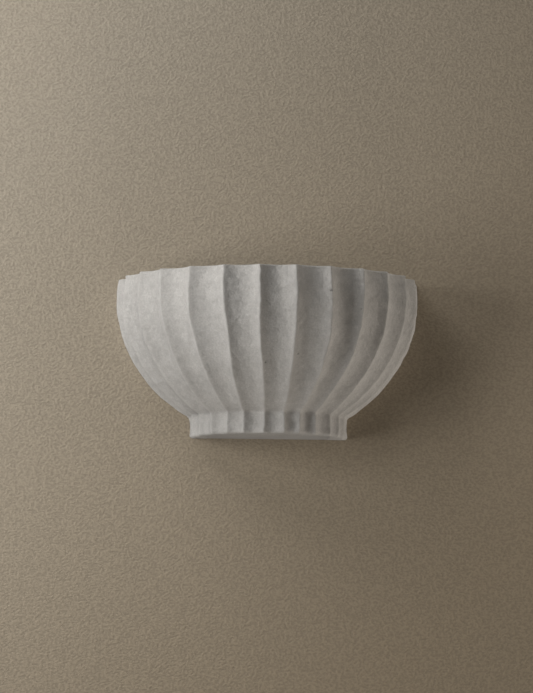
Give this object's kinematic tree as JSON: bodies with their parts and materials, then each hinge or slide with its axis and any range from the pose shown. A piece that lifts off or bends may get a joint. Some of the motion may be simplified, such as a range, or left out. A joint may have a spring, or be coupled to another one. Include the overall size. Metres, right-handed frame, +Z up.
{
  "type": "shell wall sconce",
  "caption": "Fluted half-bowl wall light in cast plaster that hooks onto a wall plate with an upward-facing bulb behind it.",
  "frame": {"origin": "on the wall plane, midway between the two fixing slots of the wall plate, 86 mm above the underside of the foot", "axes": "+Z up, +Y into the wall, +X to the right as seen by someone facing the wall"},
  "size_m": [0.3054, 0.1516, 0.16],
  "materials": {
    "plaster": "cast plaster, hand finished, matt, chalky and faintly mottled",
    "painted_cover": "steel sheet painted matt to match the plaster",
    "cover_screw_steel": "steel, painted matt with the cover",
    "brass": "plain machined brass",
    "zinc_steel": "bright zinc-plated steel sheet",
    "screw_steel": "zinc-plated steel",
    "rivet_aluminium": "plain aluminium",
    "black_rubber": "matt black rubber",
    "white_polyamide": "natural white polyamide",
    "tinned_copper": "tinned copper",
    "lampholder_plastic": "white phenolic moulding, slightly glossy",
    "white_ceramic": "glazed steatite",
    "solder": "dull solder",
    "black_glass": "opaque black glass",
    "nickel_cap": "nickel-plated screw cap",
    "bulb_white_plastic": "white plastic housing",
    "board_white": "white solder mask on aluminium with yellow emitters",
    "opal_globe": "opal white diffuser",
    "blue_lead": "blue insulation",
    "brown_lead": "brown insulation",
    "green_lead": "green and yellow insulation"
  },
  "bodies": {
    "root": {"terminal_clamps": "brass", "wall_plate": "zinc_steel", "lamp_arm": "zinc_steel", "terminal_screws": "screw_steel", "terminal_fixing_screws": "screw_steel", "earth_screw": "screw_steel", "arm_rivets": "rivet_aluminium", "cable_grommet": "black_rubber", "terminal_block": "white_polyamide", "earth_ring": "tinned_copper", "lampholder_base": "lampholder_plastic", "lampholder_skirt": "lampholder_plastic", "lampholder_contact_block": "white_ceramic", "lampholder_contact": "brass", "lampholder_thread_shell": "brass", "lampholder_nipple": "screw_steel", "nipple_washer": "screw_steel", "nipple_nut": "screw_steel", "neutral_lead": "blue_lead", "live_lead": "brown_lead", "earth_lead": "green_lead"},
    "shade": {"shade": "plaster", "bottom_cover": "painted_cover", "bottom_cover_screws": "cover_screw_steel", "bottom_cover_inserts": "brass", "hanger_bar": "zinc_steel", "hanger_screws": "screw_steel", "hanger_inserts": "brass"},
    "bulb_tip": {"bulb_tip": "solder"},
    "bulb": {"bulb_insulator": "black_glass", "bulb_cap": "nickel_cap", "bulb_collar": "bulb_white_plastic", "bulb_light_board": "board_white", "bulb_globe": "opal_globe"}
  },
  "joints": [
    {"name": "shade_lift", "type": "slide", "parent": "root", "child": "shade", "axis": [0, 0, 1], "range_m": [0, 0.0058]},
    {"name": "bulb_rise", "type": "slide", "parent": "root", "child": "bulb_tip", "axis": [0, 0, 1], "range_m": [0, 0.01815]},
    {"name": "bulb_turn", "type": "hinge", "parent": "bulb_tip", "child": "bulb", "pos_m": [0, -0.058, 0], "axis": [0, 0, 1], "range_deg": [0, 1800]}
  ],
  "couplings": [
    {"joint": "bulb_rise", "follows": "bulb_turn", "m_per_rad": 0.00057757}
  ]
}
